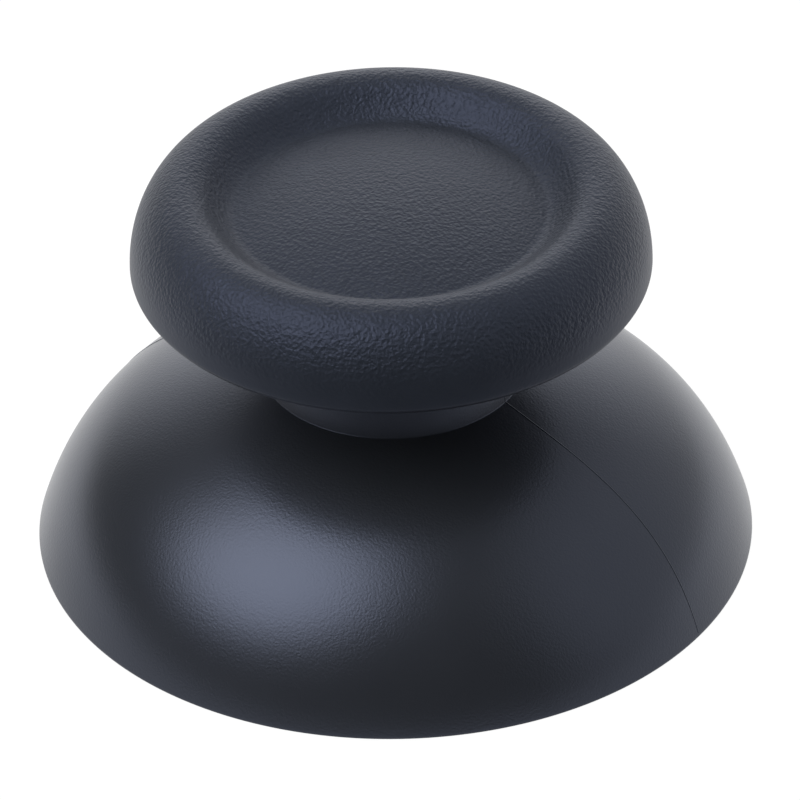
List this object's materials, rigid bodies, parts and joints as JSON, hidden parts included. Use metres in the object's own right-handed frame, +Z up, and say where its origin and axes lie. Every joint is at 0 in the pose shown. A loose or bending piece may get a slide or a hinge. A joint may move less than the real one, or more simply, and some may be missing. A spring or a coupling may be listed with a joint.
{
  "type": "thumbstick cap",
  "caption": "Thumbstick cap: hollow hard plastic dome and neck with a grained rubber ring grip and a shallow convex centre, pressed onto a stick's lever.",
  "frame": {"origin": "middle of the rim's bottom face, on the cap's axis", "axes": "+Z up the cap's axis, towards the thumb; the XZ plane is the mould's parting plane, along the socket's flats"},
  "size_m": [0.026, 0.026, 0.0149],
  "materials": {
    "satin_plastic": "satin moulded plastic with a very fine texture, dark blue-grey",
    "grained_rubber": "matt overmoulded rubber with a fine leather-like grain, dark blue-grey"
  },
  "bodies": {
    "root": {"dome_body": "satin_plastic", "rubber_grip": "grained_rubber"}
  },
  "joints": []
}
